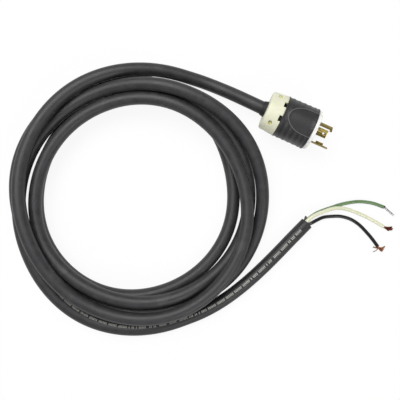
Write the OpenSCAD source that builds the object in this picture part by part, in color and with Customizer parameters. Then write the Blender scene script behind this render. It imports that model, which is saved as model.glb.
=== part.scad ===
// Shore power cord: a locking three-blade plug on about 4.5 m of jacketed three-core cord,
// loosely coiled, with the far end cut square, its cores fanned out and stripped for wiring in.
// Millimetres. +X is the way the blades point, +Z is up. The origin is on the floor under the
// middle of the plug.

/* [Plug shell] */
// Largest radius of the shell, at its front rim
shell_r = 27; // [25.5:0.25:29]
// How much smaller the shell's radius is at its rear edge
shell_taper = 0.4; // [0:0.1:0.8]
// Length of the shell
shell_len = 41.2; // [39:0.2:46]
// Wall between the grips' floor and the cavity
shell_wall = 3.2; // [2.6:0.1:3.6]
// Thickness of the shell's rear wall
rear_wall = 3.2; // [2.4:0.2:4]
// Depth of the grip grooves
grip_depth = 0.6; // [0.55:0.05:0.9]
// Number of grip ribs along the shell
grip_ribs = 5; // [3:1:6]
// Axial width of a grip rib at its foot
grip_w = 4; // [3:0.1:4.4]
// Distance from one grip rib to the next
grip_pitch = 7.2; // [6:0.1:7.4]
// Width of the arched thumb panel at the front rim
arch_w = 32.8; // [28:0.2:34]
// Length of the arched panel, from the front rim back to its apex
arch_len = 36; // [30:0.5:37]
// Width of the raised bead round the arched panel
arch_bead = 1.5; // [1.2:0.1:2.4]
// How far the panel lies below the bead
arch_step = 0.45; // [0.3:0.05:0.5]

/* [White face] */
// How far the face stands out of the shell
face_len = 4.8; // [4:0.2:6]
// Radial step from the shell's front rim down to the face
face_step = 1.2; // [0.6:0.1:2.2]
// Depth of the face's spigot in the shell
spigot_len = 3.8; // [3:0.2:5]
// Length of the terminal block behind the face
block_len = 20; // [19:0.2:21]
// Depth of the three notches in the face's rim
rim_notch = 1.6; // [1:0.1:2.4]

/* [Blades] */
// Radius of the circle that the blades lie on, at mid thickness
blade_r = 14; // [13.6:0.1:14.6]
// Thickness of a blade
blade_t = 1.6; // [1.4:0.1:1.8]
// Length of the ground blade beyond the face
ground_len = 24.9; // [23:0.1:26]
// Length of the hot blade beyond the face
hot_len = 19; // [17:0.1:21]
// Length of the neutral blade beyond the face
neutral_len = 20; // [18:0.1:22]
// Width of the ground blade, measured round the circle
ground_w = 9.8; // [9:0.1:10.2]
// Width of the hot blade, measured round the circle
hot_w = 5.6; // [5:0.1:6.4]
// Width of the neutral blade, measured round the circle
neutral_w = 10.6; // [9.6:0.1:11.4]
// Height of the ground blade's inward leg
leg_h = 3.4; // [2.4:0.1:4]
// Length of the inward leg
leg_len = 9.8; // [8:0.2:12]
// Distance from the ground blade's tip back to its leg
leg_back = 6.4; // [5:0.1:8]
// Reach of the hook at the hot blade's tip
hook_reach = 2.6; // [1.8:0.1:3.4]
// Length of that hook along the blade
hook_len = 2.6; // [2:0.1:3.4]
// Diameter of the hole in the neutral blade
blade_hole_d = 2.9; // [2:0.1:3.4]
// Distance from the neutral blade's tip back to that hole
hole_back = 4.6; // [3.4:0.1:6]

/* [Cord clamp] */
// Length of the clamp collar
clamp_len = 20.5; // [20:0.25:24]
// Radial step from the shell's rear edge down to the collar's front
clamp_step = 0.4; // [0.2:0.1:1]
// How much smaller the collar's radius is at its rear end
clamp_taper = 1.8; // [0.8:0.1:2.6]
// Rounding of the collar's rear edge
clamp_round = 2.6; // [1.6:0.1:2.8]
// Wall of the collar's two jaws
clamp_wall = 3; // [2.4:0.1:3.6]
// Gap between the jaws when they hold the cord
jaw_gap = 1.2; // [0.8:0.1:1.8]
// How far the upper jaw can be let out on its screws
jaw_travel = 4; // [2:0.5:5]
// Distance between the two clamp screws
clamp_pitch = 34.6; // [33.6:0.2:35.4]
// Thread diameter of the clamp screws
clamp_screw_d = 3; // [2.6:0.1:3.4]
// Head diameter of the clamp screws
clamp_head_d = 4.8; // [4.6:0.1:6]
// Width of the two notches in the collar's front edge
notch_w = 7.2; // [5:0.1:7.6]
// Depth of those notches along the plug
notch_len = 3.6; // [2.4:0.1:4]
// Angle of a notch from the top of the collar
notch_angle = 20.5; // [17:0.5:24]
// How far the rubber sleeve on the cord stands out behind the collar
sleeve_out = 5.6; // [4:0.2:7]

/* [Cord] */
// Diameter of the jacketed cord
cord_d = 16.8; // [16.2:0.1:17.2]
// Diameter of an insulated core
core_d = 4.7; // [4.2:0.1:4.8]
// Diameter of a bare, stripped core
bare_d = 3; // [2.6:0.1:3.2]
// Length of the tinned end of the green core
tinned_len = 17; // [12:0.5:22]

/* [Hidden] */
$fn = 72;
fit = 0.3;            // clearance between pieces that slide in or lift out of each other
snug = 0.15;          // clearance round a piece that is pushed home once
over = 1;             // how far a cutting tool runs past what it cuts

// Stations along the plug's axis
plug_len = clamp_len + shell_len + face_len + ground_len;
x_rear = -plug_len / 2;
x_joint = x_rear + clamp_len;
x_front = x_joint + shell_len;
x_face = x_front + face_len;
axis_z = shell_r;

// Shell
shell_rear_r = shell_r - shell_taper;
rim_len = 1.6;
bead_drop = 0.08;     // how far the bead's crest lies below the rim
cavity_r = shell_r - grip_depth - shell_wall;
x_cavity = x_joint + rear_wall;
lip_len = 5;
lip_r = 19.8;
throat_r = 12.5;
arch_front = arch_len * 0.3;

// Face and terminal block
face_r = shell_r - face_step;
face_edge = 0.9;      // bevel round the face's front edge
body_r = cavity_r - snug;
x_block1 = x_front - spigot_len;
x_block0 = x_block1 - block_len;
pocket_end = 4;       // thickness of the block left at either end of a pocket
x_pocket0 = x_block0 + pocket_end;
x_pocket1 = x_block1 - pocket_end;
x_terminal = (x_pocket0 + x_pocket1) / 2;

// Blades: [angle from the top, counted towards +Y]
ground_a = -104;
hot_a = 38;
neutral_a = 158;
tail_w = neutral_w + 0.2;
tail_in = 1;          // how far a blade's tail starts ahead of the pocket's rear end
blade_in = blade_r - blade_t / 2;
blade_out = blade_r + blade_t / 2;

// Terminals
plate_t = 1.8;
term_screw_d = 3.5;
plate_w = 10;
wire_side = (term_screw_d + bare_d) / 2 + snug;
// Height of a blade's hollow side over the wire's far flank, where the wire touches first
blade_under = sqrt(pow(blade_in, 2) - pow(wire_side + bare_d / 2, 2));
wire_r = blade_under - snug - bare_d / 2;
plate_out = wire_r - bare_d / 2 - snug;
plate_in = plate_out - plate_t;
pocket_w = 11;
pocket_floor = plate_in - 0.3;
term_head_d = 7;
term_head_t = 2.2;
wire_ring = norm([wire_side, wire_r]);
wire_turn = atan2(wire_side, wire_r);

// Assembly screws, from the face through the block and the shell into the lower jaw
assembly_r = 17;
assembly_a = [108, -153];
assembly_d = 3.5;
assembly_head_d = 6.4;
assembly_head_t = 2.4;
assembly_sunk = 0.6;  // how far the heads lie below the face
assembly_reach = 2.4;

// Clamp collar
clamp_front_r = shell_rear_r - clamp_step;
clamp_rear_r = clamp_front_r - clamp_taper;
screw_in = 9.8;       // from the collar's rear end to the clamp screws
x_clamp_screw = x_rear + screw_in;
saddle_r = cord_d / 2 + fit;
saddle_in = 8;        // from the collar's rear end to the saddle that grips the cord
x_saddle = x_rear + saddle_in;
saddle_t = 2.4;
rear_plate = 4;
boss_r = 4.6;
x_seat = x_joint - lip_len - fit;
seat_t = 4;
head_seat = 13;
head_t = 2.2;
nut_w = 6.6;
nut_t = 2.6;
nut_z = -13.4;
screw_tip = -16.6;
sleeve_r = saddle_r + 1.6;
jacket_in = 14.7;     // how far the jacket reaches into the collar
x_jacket_end = x_rear + jacket_in;
core_rise = 11;       // from the jacket's end to halfway up to the terminals

// Cord routes. Each height is that of the cord's centre above the floor.
cord_r = cord_d / 2;
coil_sides = 6;
cord_sides = 8;
coil_seat = cord_r * cos(180 / coil_sides);
cord_seat = cord_r * cos(180 / cord_sides);
coil_x = -152.6;
coil_y = -173.4;
coil_start = 91.2;    // angle of the coil's first station
turn_stations = 8;    // stations in one turn
turn_rings = 24;      // rings in one turn
// Stations along the coil's one unbroken length: [radius, lift above lying on the floor]
coil_stations = [
    [174, 4], [160.5, 27.5], [146, 35], [138.5, 35.5], [147.5, 22], [155, 20.3], [149.5, 20.8],
    [137.5, 21.5],
    [131, 30], [126, 21], [125.5, 18], [129, 18], [128, 18.5], [136, 15], [146, 1],
    [149.5, 8],
    [145.5, 20], [139.5, 3.5], [131.5, 0], [132, 0], [129.5, 0], [125, 0], [127, 0],
    [131.5, 0],
    [150, 0], [163, 0], [164, 0], [153, 0], [147.5, 0], [152, 0], [163.5, 0],
    [163.5, 21.5],
    [148, 38], [144, 21], [147.5, 14.5], [151, 19.5], [168.5, 7], [170, 0]
];
// From the clamp down to the floor and on to the coil: [x, y, height]
lead_route = [
    [x_rear, 0, axis_z], [-54, 0, 27], [-66, 0.8, 25.2], [-78, 2, 21.4], [-90, 3.3, 16.8],
    [-102, 4.3, 12.6], [-114, 4.7, 9.6], [-126, 4.5, 8.5], [-136, 3.8, 8.9], [-146, 2.4, 10.3]
];
// From the coil along the floor to the cut end: [x, y]
tail_route = [
    [-13, -274], [5, -250], [20.5, -223], [33.5, -195], [45, -166], [55.5, -137], [65.5, -110.5]
];
cut_dir = [0.353, 0.936, 0];
// The three free cores, from the cut end: [x, y, height]
green_route = [
    [63.15, -109.55, 6.5], [66, -103.5, 6.4], [69.1, -97.9, 6.2], [72.3, -93.3, 5.6],
    [77, -88.3, 4.5], [83.6, -82.2, 3.1], [90.2, -76.3, 2.4], [96, -70.9, 2.4],
    [107.4, -62.4, 2.4], [120, -55.3, 2.4], [136, -50.4, 2.4], [153, -49, 2.4]
];
white_route = [
    [63.3, -109.6, 11.4], [65.7, -104.2, 11.3], [68, -100, 11.2], [71.4, -95.6, 10.8],
    [75.3, -91.5, 10], [79.5, -87.6, 9.1], [84.3, -83.1, 8.1], [89.9, -78.7, 7.2],
    [95, -75.6, 6], [100, -73.7, 4.3], [105.5, -72.2, 3], [112, -71.1, 2.4],
    [126.5, -70.4, 2.4], [143, -70.9, 2.4], [162.5, -73, 2.4]
];
black_route = [
    [68.15, -111.45, 6.4], [70.1, -109.4, 6.6], [72.2, -107.1, 6.5], [75.1, -103.3, 6],
    [78, -100, 5.2], [81, -96.7, 4.3], [86.2, -92.6, 3.1], [98.5, -86.1, 2.4],
    [107, -83.1, 2.4], [119, -81.8, 2.4], [132, -84, 2.4], [146, -89.6, 2.4],
    [156.5, -94.8, 2.4], [166, -100.3, 2.4]
];
tinned_dir = [cos(-17), sin(-17), 0];
bare_in = 1;          // how far a stripped end reaches into its insulation
stub_len = 2.6;
strand_d = 1.1;
// Tips of the fanned strands on the floor, from the left of each core to its right
white_strands = [[175.6, -69.4], [176.2, -71.6], [175.4, -73.4], [173.4, -75.4]];
black_strands = [
    [175.4, -95.4], [176.4, -98.4], [176, -101.4], [174.6, -104.8], [164.4, -109.5], [160.5, -105.2]
];
// Frayed filler cords in the cut face: [sideways from the cord's centre, height, the same at the
// tip, length, radius, radius at the tip]
fillers = [
    [-5.2, 9.3, -6.9, 9.8, 6, 0.7, 1.9], [2.6, 11, 2.6, 11.2, 4.4, 1.6, 1.8],
    [0.1, 4.2, 0.1, 4.2, 3, 0.9, 0.9]
];

// ---- small helpers ----

module in_plug() {
    translate([0, 0, axis_z]) children();
}

// Solid of revolution about the plug's axis, from [radius, x] points
module turned(pts) {
    rotate([0, 90, 0]) rotate_extrude() polygon(pts);
}

module tube(x0, x1, r_out, r_in) {
    turned([[r_in, x0], [r_out, x0], [r_out, x1], [r_in, x1]]);
}

module rod_x(x0, x1, r) {
    translate([x0, 0, 0]) rotate([0, 90, 0]) cylinder(h = x1 - x0, r = r);
}

// Turns the top of the plug to angle a, counted towards +Y
module at_angle(a) {
    rotate([-a, 0, 0]) children();
}

function arc_angle(length) = length / blade_r * 180 / PI;

// Curved strip round the plug's axis, centred on the top
module strip(x0, x1, r_in, r_out, width) {
    half = arc_angle(width / 2);
    rotate([0, 90, 0]) rotate([0, 0, 180 - half])
        rotate_extrude(angle = 2 * half) polygon([[r_in, x0], [r_out, x0], [r_out, x1], [r_in, x1]]);
}

module cone_between(p, q, r, tip_r) {
    d = q - p;
    translate(p) rotate([0, acos(d[2] / norm(d)), atan2(d[1], d[0])])
        cylinder(h = norm(d), r1 = r, r2 = tip_r, $fn = 16);
}

module rod_between(p, q, r) cone_between(p, q, r, r);

function unit(v) = v / norm(v);
function shell_r_at(x) = shell_rear_r + shell_taper * (x - x_joint) / shell_len;
function clamp_r_at(x) = clamp_front_r - clamp_taper * (x_joint - x) / clamp_len;

// Point i of a list, carried on in a straight line past both its ends
function at(p, i) = i < 0 ? 2 * p[0] - p[1]
    : i > len(p) - 1 ? 2 * p[len(p) - 1] - p[len(p) - 2]
    : p[i];

// Smooth curve through a list of points, at u from 0 to the last index
function smooth(p, u) = let (
        i = min(floor(u), len(p) - 2),
        t = u - i,
        a = at(p, i - 1),
        b = at(p, i),
        c = at(p, i + 1),
        d = at(p, i + 2)
    ) (2 * b + (c - a) * t + (2 * a - 5 * b + 4 * c - d) * t * t + (3 * b - a - 3 * c + d) * t * t * t) / 2;

// One ring of a tube, standing on a flat
function ring(p, dir, r, sides) = let (
        side = unit(cross(dir, [0, 0, 1])),
        up = cross(side, dir)
    ) [for (k = [0 : sides - 1])
        let (a = 270 + (k + 0.5) * 360 / sides)
        p + r * (cos(a) * side + sin(a) * up)];

// Tube through points, with the directions of its two end faces given where a neighbour meets them
module swept(p, r, sides, dir0 = undef, dir1 = undef) {
    n = len(p);
    dirs = [for (i = [0 : n - 1])
        i == 0 && dir0 != undef ? dir0
        : i == n - 1 && dir1 != undef ? dir1
        : unit(at(p, i + 1) - at(p, i - 1))];
    points = [for (i = [0 : n - 1]) each ring(p[i], dirs[i], r, sides)];
    walls = [for (i = [0 : n - 2], k = [0 : sides - 1])
        let (a = i * sides + k, b = i * sides + (k + 1) % sides)
        each [[a, b, b + sides], [a, b + sides, a + sides]]];
    last = (n - 1) * sides;
    caps = [for (k = [1 : sides - 2]) each [[0, k + 1, k], [last, last + k, last + k + 1]]];
    polyhedron(points = points, faces = concat(walls, caps));
}

// ---- plug ----

// Outline of the arched panel in plan: straight from the front rim, then half an ellipse
function arch_outline(inset) = let (
        b = arch_w / 2 - inset,
        a = arch_len - arch_front - inset
    ) concat([[x_front + over, b]],
        [for (t = [0 : 9 : 180]) [x_front - arch_front - a * sin(t), b * cos(t)]],
        [[x_front + over, -b]]);

module arch_prism(inset) {
    linear_extrude(height = 3 * shell_r, center = true) polygon(arch_outline(inset));
}

module shell_cone(x0, x1, drop) {
    turned([[0, x0], [shell_r_at(x0) - drop, x0], [shell_r_at(x1) - drop, x1], [0, x1]]);
}

module grip_rings() {
    crest = 0.4;      // share of a rib's foot that its flat crest takes
    for (i = [0 : grip_ribs - 1]) {
        x = x_front - rim_len - grip_pitch / 2 - i * grip_pitch;
        foot = shell_r_at(x) - grip_depth;
        top = shell_r_at(x) - snug;
        turned([[foot - over, x - grip_w / 2], [foot, x - grip_w / 2], [top, x - grip_w * crest / 2],
            [top, x + grip_w * crest / 2], [foot, x + grip_w / 2], [foot - over, x + grip_w / 2]]);
    }
}

module housing_shell() color([0.16, 0.16, 0.17]) in_plug() difference() {
    union() {
        shell_cone(x_joint, x_front, grip_depth);
        shell_cone(x_joint, x_joint + rim_len, 0);
        shell_cone(x_front - rim_len, x_front, 0);
        difference() {
            grip_rings();
            arch_prism(0);
        }
        intersection() {
            shell_cone(x_joint + rim_len / 2, x_front - rim_len / 2, arch_step);
            arch_prism(arch_bead / 2);
        }
        intersection() {
            shell_cone(x_joint + rim_len / 2, x_front - rim_len / 2, bead_drop);
            difference() {
                arch_prism(0);
                arch_prism(arch_bead);
            }
        }
        rod_x(x_joint - lip_len, x_joint + over, lip_r);
    }
    rod_x(x_cavity, x_front + over, cavity_r);
    rod_x(x_joint - lip_len - over, x_cavity + over, throat_r);
    for (a = assembly_a) at_angle(a) translate([0, 0, assembly_r])
        rod_x(x_joint - lip_len - over, x_cavity + over, assembly_d / 2 + fit);
}

module assembly_bores(x0) {
    for (a = assembly_a) at_angle(a) translate([0, 0, assembly_r]) {
        rod_x(x0, x_face + over, assembly_d / 2 + fit);
        rod_x(x_face - assembly_sunk - assembly_head_t, x_face + over, assembly_head_d / 2 + fit);
    }
}

// Slot in the face for a blade of this width
module blade_slot(width) {
    strip(x_block1 - over, x_face + over, blade_in - snug, blade_out + snug, width + 2 * snug);
}

module front_face() color([0.93, 0.93, 0.9]) in_plug() difference() {
    union() {
        turned([[0, x_front], [face_r, x_front], [face_r, x_face - face_edge],
            [face_r - face_edge, x_face], [0, x_face]]);
        rod_x(x_block1, x_front, body_r);
    }
    at_angle(ground_a) blade_slot(ground_w);
    at_angle(hot_a) blade_slot(hot_w);
    at_angle(neutral_a) blade_slot(neutral_w);
    assembly_bores(x_block1 - over);
    for (a = [-54, -10, 44]) at_angle(a) translate([x_front + face_len / 2, -3, face_r - rim_notch])
        cube([face_len, 6, rim_notch + over]);
}

module terminal_block() color([0.86, 0.86, 0.82]) in_plug() difference() {
    rod_x(x_block0, x_block1, body_r);
    for (a = [ground_a, hot_a, neutral_a]) at_angle(a) {
        strip(x_pocket0, x_block1 + over, blade_in - snug, blade_out + snug, tail_w + 2 * snug);
        translate([x_pocket0, -pocket_w / 2, pocket_floor])
            cube([x_pocket1 - x_pocket0, pocket_w, body_r]);
        translate([0, wire_side, wire_r]) rod_x(x_block0 - over, x_pocket0 + over, core_d / 2 + fit);
    }
    for (a = assembly_a) at_angle(a) translate([0, 0, assembly_r])
        rod_x(x_block0 - over, x_block1 + over, assembly_d / 2 + fit);
}

// Tail in the terminal block, a touch thinner than the blade, with the hole for its screw
module blade_tail() {
    difference() {
        strip(x_pocket0 + tail_in, x_block1, blade_in + 0.1, blade_out - 0.1, tail_w);
        translate([x_terminal, 0, 0]) cylinder(h = 2 * blade_r, r = term_screw_d / 2 + snug);
    }
}

module ground_blade() color([0.66, 0.56, 0.3]) in_plug() at_angle(ground_a) {
    blade_tail();
    strip(x_block1 - over, x_face + ground_len, blade_in, blade_out, ground_w);
    translate([x_face + ground_len - leg_len - leg_back, -blade_t / 2, blade_in - leg_h])
        cube([leg_len, blade_t, leg_h + blade_t / 2]);
}

module hot_blade() color([0.66, 0.56, 0.3]) in_plug() at_angle(hot_a) {
    blade_tail();
    difference() {
        at_angle(-arc_angle(hook_reach / 2))
            strip(x_block1 - over, x_face + hot_len, blade_in, blade_out, hot_w + hook_reach);
        at_angle(-arc_angle(hot_w / 2 + hook_reach))
            strip(x_block1 - 2 * over, x_face + hot_len - hook_len, blade_in - over, blade_out + over,
                2 * hook_reach);
    }
}

module neutral_blade() color([0.66, 0.56, 0.3]) in_plug() at_angle(neutral_a) {
    blade_tail();
    difference() {
        strip(x_block1 - over, x_face + neutral_len, blade_in, blade_out, neutral_w);
        translate([x_face + neutral_len - hole_back, 0, 0]) cylinder(h = 2 * blade_r, r = blade_hole_d / 2);
    }
}

module terminal_plate(a) {
    color([0.75, 0.66, 0.42]) in_plug() at_angle(a) difference() {
        translate([x_pocket0 + 1, -plate_w / 2, plate_in])
            cube([x_pocket1 - x_pocket0 - 2, plate_w, plate_t]);
        translate([x_terminal, 0, 0]) cylinder(h = plate_out + over, r = term_screw_d / 2 + snug);
    }
}

module ground_plate() terminal_plate(ground_a);
module hot_plate() terminal_plate(hot_a);
module neutral_plate() terminal_plate(neutral_a);

module terminal_screw(a, head_sides) {
    head_z = blade_out + 0.5;
    in_plug() at_angle(a) translate([x_terminal, 0, 0]) difference() {
        union() {
            translate([0, 0, pocket_floor + 0.1])
                cylinder(h = head_z - pocket_floor, r = term_screw_d / 2);
            translate([0, 0, head_z])
                cylinder(h = term_head_t, r = term_head_d / 2, $fn = head_sides);
        }
        translate([-term_head_d, -0.5, head_z + term_head_t - 1]) cube([2 * term_head_d, 1, 2]);
    }
}

module terminal_screws() color([0.78, 0.78, 0.76]) {
    terminal_screw(hot_a, 48);
    terminal_screw(neutral_a, 48);
}

module ground_screw() color([0.2, 0.5, 0.26]) terminal_screw(ground_a, 6);

module assembly_screws() color([0.75, 0.75, 0.74]) in_plug() for (a = assembly_a) at_angle(a)
    translate([0, 0, assembly_r]) difference() {
        x_head = x_face - assembly_sunk - assembly_head_t;
        union() {
            rod_x(x_seat - assembly_reach, x_head + 0.1, assembly_d / 2);
            rod_x(x_head, x_face - assembly_sunk, assembly_head_d / 2);
        }
        translate([x_face - assembly_sunk - 0.8, -assembly_head_d, -0.5])
            cube([2, 2 * assembly_head_d, 1]);
    }

// ---- cord clamp ----

// Half of the collar below z = 0: outer wall, rear plate, saddles, screw bosses
module jaw() difference() {
    union() {
        difference() {
            turned(concat([[0, x_rear]],
                [for (a = [0 : 15 : 90]) [
                    clamp_r_at(x_rear + clamp_round) - clamp_round * (1 - sin(a)),
                    x_rear + clamp_round * (1 - cos(a))
                ]],
                [[clamp_front_r, x_joint], [0, x_joint]]));
            turned([[0, x_rear + rear_plate], [clamp_rear_r - clamp_wall, x_rear + rear_plate],
                [clamp_front_r - clamp_wall, x_joint + over], [0, x_joint + over]]);
        }
        intersection() {
            rod_x(x_rear, x_joint, clamp_rear_r - clamp_wall + over);
            union() {
                translate([x_saddle, -clamp_rear_r, -clamp_rear_r])
                    cube([saddle_t, 2 * clamp_rear_r, 2 * clamp_rear_r]);
                translate([x_seat - seat_t, -clamp_rear_r, -clamp_rear_r])
                    cube([seat_t, 2 * clamp_rear_r, 2 * clamp_rear_r]);
                for (s = [-1, 1]) translate([x_clamp_screw, s * clamp_pitch / 2, -clamp_rear_r])
                    cylinder(h = 2 * clamp_rear_r, r = boss_r);
            }
        }
    }
    rod_x(x_rear - over, x_seat - seat_t, saddle_r);
    rod_x(x_rear - over, x_rear + rear_plate, sleeve_r + fit);
    rod_x(x_seat - seat_t - over, x_joint + over, throat_r);
    translate([x_rear - over, -2 * clamp_front_r, -jaw_gap / 2])
        cube([clamp_len + 2 * over, 4 * clamp_front_r, 2 * clamp_front_r]);
    for (s = [-1, 1]) translate([x_clamp_screw, s * clamp_pitch / 2, -2 * clamp_front_r])
        cylinder(h = 2 * clamp_front_r, r = clamp_screw_d / 2 + fit);
}

module cord_clamp_lower() color([0.9, 0.9, 0.78]) in_plug() difference() {
    jaw();
    for (s = [-1, 1]) translate([x_clamp_screw, s * clamp_pitch / 2, nut_z]) {
        translate([-nut_w / 2 - snug, -nut_w / 2 - snug, -clamp_front_r])
            cube([nut_w + 2 * snug, nut_w + 2 * snug, clamp_front_r + nut_t]);
    }
    for (a = assembly_a) at_angle(a) translate([0, 0, assembly_r])
        rod_x(x_seat - assembly_reach - 0.5, x_joint, assembly_d / 2 + snug);
}

module cord_clamp_upper() color([0.92, 0.92, 0.8]) in_plug() difference() {
    rotate([180, 0, 0]) jaw();
    for (s = [-1, 1]) translate([x_clamp_screw, s * clamp_pitch / 2, head_seat])
        cylinder(h = clamp_front_r, r = clamp_head_d / 2 + snug);
    for (s = [-1, 1]) at_angle(s * notch_angle)
        translate([x_joint - notch_len, -notch_w / 2, 0])
            cube([notch_len + over, notch_w, 2 * clamp_front_r]);
}

module clamp_screws() color([0.75, 0.75, 0.74]) in_plug()
    for (s = [-1, 1]) translate([x_clamp_screw, s * clamp_pitch / 2, 0]) difference() {
        union() {
            translate([0, 0, screw_tip]) cylinder(h = head_seat - screw_tip + 0.1, r = clamp_screw_d / 2);
            translate([0, 0, head_seat + 0.05]) cylinder(h = head_t, r = clamp_head_d / 2);
        }
        translate([-0.5, -clamp_head_d, head_seat + head_t - 0.9]) cube([1, 2 * clamp_head_d, 2]);
    }

module clamp_nuts() color([0.7, 0.7, 0.7]) in_plug()
    for (s = [-1, 1]) translate([x_clamp_screw, s * clamp_pitch / 2, nut_z]) difference() {
        translate([-nut_w / 2, -nut_w / 2, 0]) cube([nut_w, nut_w, nut_t]);
        translate([0, 0, -over]) cylinder(h = nut_t + 2 * over, r = clamp_screw_d / 2 + fit);
    }

module cord_sleeve() color([0.1, 0.1, 0.1]) in_plug() difference() {
    turned([[0, x_rear - sleeve_out], [saddle_r + 0.3, x_rear - sleeve_out], [sleeve_r, x_rear - 0.6],
        [sleeve_r, x_rear + rear_plate - snug], [0, x_rear + rear_plate - snug]]);
    rod_x(x_rear - sleeve_out - over, x_rear + rear_plate + over, saddle_r);
}

// ---- cores inside the plug ----

// Core from the jacket's end to the terminal at angle a
module inner_core(a) {
    turn = a + wire_turn;
    // [x, distance from the plug's axis]
    run = [[x_jacket_end, 3.2], [x_jacket_end + 5, 3.9], [x_jacket_end + core_rise, 7],
        [x_block0 - 5.5, 11.2],
        [x_block0 + 0.5, wire_ring], [x_pocket0 - 0.3, wire_ring]];
    p = [for (u = [0 : 0.5 : len(run) - 1]) let (s = smooth(run, u))
        [s[0], s[1] * sin(turn), axis_z + s[1] * cos(turn)]];
    swept(p, core_d / 2, cord_sides, [1, 0, 0], [1, 0, 0]);
}

module inner_green_core() color([0.24, 0.45, 0.28]) inner_core(ground_a);
module inner_black_core() color([0.1, 0.1, 0.1]) inner_core(hot_a);
module inner_white_core() color([0.88, 0.88, 0.84]) inner_core(neutral_a);

module terminal_wire_ends() color([0.72, 0.42, 0.26]) in_plug()
    for (a = [ground_a, hot_a, neutral_a]) at_angle(a) translate([0, wire_side, wire_r])
        rod_x(x_pocket0 - 0.3, x_pocket1 - 1.5, bare_d / 2);

// ---- cord ----

// Centre of the coiled cord at station u, with its centre at this height when it lies on the floor
function coil_point(u, seat) = let (
        s = smooth(coil_stations, u),
        a = coil_start + u * 360 / turn_stations
    ) [coil_x + s[0] * cos(a), coil_y + s[0] * sin(a), seat + max(s[1], 0)];

coil_last = len(coil_stations) - 1;
coil_step = turn_stations / turn_rings;
coil_path = [for (u = [0 : coil_step : coil_last + coil_step / 2]) coil_point(min(u, coil_last), coil_seat)];
coil_dir0 = unit(coil_path[1] - coil_path[0]);
coil_dir1 = unit([coil_path[len(coil_path) - 1][0] - coil_path[len(coil_path) - 2][0],
    coil_path[len(coil_path) - 1][1] - coil_path[len(coil_path) - 2][1], 0]);

module cable_root() color([0.22, 0.22, 0.23]) in_plug() rod_x(x_rear, x_jacket_end, cord_r);

module cable_lead() color([0.22, 0.22, 0.23])
    swept(concat([for (u = [0 : 0.5 : len(lead_route) - 1]) smooth(lead_route, u)], [coil_path[0]]),
        cord_r, cord_sides, [-1, 0, 0], coil_dir0);

module cable_coil() color([0.22, 0.22, 0.23])
    swept(coil_path, cord_r, coil_sides, coil_dir0, coil_dir1);

module cable_tail() color([0.22, 0.22, 0.23]) {
    end = coil_path[len(coil_path) - 1];
    p = concat([[end[0], end[1], cord_seat]], [for (q = tail_route) [q[0], q[1], cord_seat]]);
    swept([for (u = [0 : 0.5 : len(p) - 1]) smooth(p, u)], cord_r, cord_sides, coil_dir1, cut_dir);
}

module free_core(route, end_dir = undef) {
    swept([for (u = [0 : 0.5 : len(route) - 1]) smooth(route, u)], core_d / 2, cord_sides, cut_dir, end_dir);
}

module green_core() color([0.35, 0.6, 0.36]) free_core(green_route, tinned_dir);
module white_core() color([0.9, 0.9, 0.8]) free_core(white_route);
module black_core() color([0.12, 0.12, 0.12]) free_core(black_route);

function route_end(route) = route[len(route) - 1];
function route_dir(route) = unit(route[len(route) - 1] - route[len(route) - 2]);

module tinned_end() color([0.75, 0.75, 0.76])
    rod_between(route_end(green_route), route_end(green_route) + tinned_len * tinned_dir, bare_d / 2);

// Strands that fan out from a stripped end, their roots side by side in its bare stub
module strands(route, tips) {
    root = route_end(route);
    d = route_dir(route);
    side = [d[1], -d[0], 0];
    last = len(tips) - 1;
    rod_between(root - bare_in * d, root + stub_len * d, bare_d / 2);
    for (i = [0 : last]) rod_between(
        root + (stub_len - 0.6) * d + (i - last / 2) * 1.9 / last * side + [0, 0, i % 2 == 0 ? -0.5 : 0.6],
        [tips[i][0], tips[i][1], strand_d / 2 + 0.2],
        strand_d / 2);
}

module white_copper_end() color([0.42, 0.2, 0.16]) strands(white_route, white_strands);
module black_copper_end() color([0.72, 0.4, 0.2]) strands(black_route, black_strands);

module filler_cords() color([0.45, 0.44, 0.42]) {
    cut = [tail_route[len(tail_route) - 1][0], tail_route[len(tail_route) - 1][1], 0] + 0.2 * cut_dir;
    side = [cut_dir[1], -cut_dir[0], 0];
    for (f = fillers) cone_between(
        cut + f[0] * side + [0, 0, f[1]],
        cut + f[2] * side + [0, 0, f[3]] + f[4] * cut_dir,
        f[5],
        f[6]);
}

// Least distance between lengths of the coil a turn apart, less the cord's diameter
check_step = 1 / 9;
check_path = [for (u = [0 : check_step : coil_last]) coil_point(u, coil_seat)];
check_turn = 0.6 * turn_stations / check_step;
coil_gap = min([for (i = [0 : len(check_path) - 1 - check_turn])
    min([for (j = [i + check_turn : len(check_path) - 1]) norm(check_path[i] - check_path[j])])]) - cord_d;
coil_length = len(coil_path) < 2 ? 0
    : [for (i = 0, sum = 0; i < len(coil_path); i = i + 1,
        sum = sum + (i < len(coil_path) ? norm(coil_path[i] - coil_path[i - 1]) : 0))
        sum][len(coil_path) - 1];
echo(coil_gap_mm = coil_gap, coil_length_mm = coil_length);  // cable_coil

housing_shell();
front_face();
terminal_block();
ground_blade();
hot_blade();
neutral_blade();
ground_plate();
hot_plate();
neutral_plate();
terminal_screws();
ground_screw();
assembly_screws();
cord_clamp_lower();
cord_clamp_upper();
clamp_screws();
clamp_nuts();
cord_sleeve();
inner_green_core();
inner_black_core();
inner_white_core();
terminal_wire_ends();
cable_root();
cable_lead();
cable_coil();
cable_tail();
green_core();
white_core();
black_core();
tinned_end();
white_copper_end();
black_copper_end();
filler_cords();
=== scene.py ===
# %% [markdown]
# # A shore power cord
# A caravan is fed through a thick rubber cord. One end has a locking plug with three curved
# blades. The other end is cut square, and its cores are stripped to be wired in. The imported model
# is loaded first, as a frame in metres that nothing here moves: every new piece is made where the
# real one lies, and the exact solids of the plug keep their shape and get their finish here.

# %% Load the frame
import random
from math import atan2, cos, pi, radians, sin, tau

import bmesh
import bpy
from mathutils import Matrix, Vector


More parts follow.
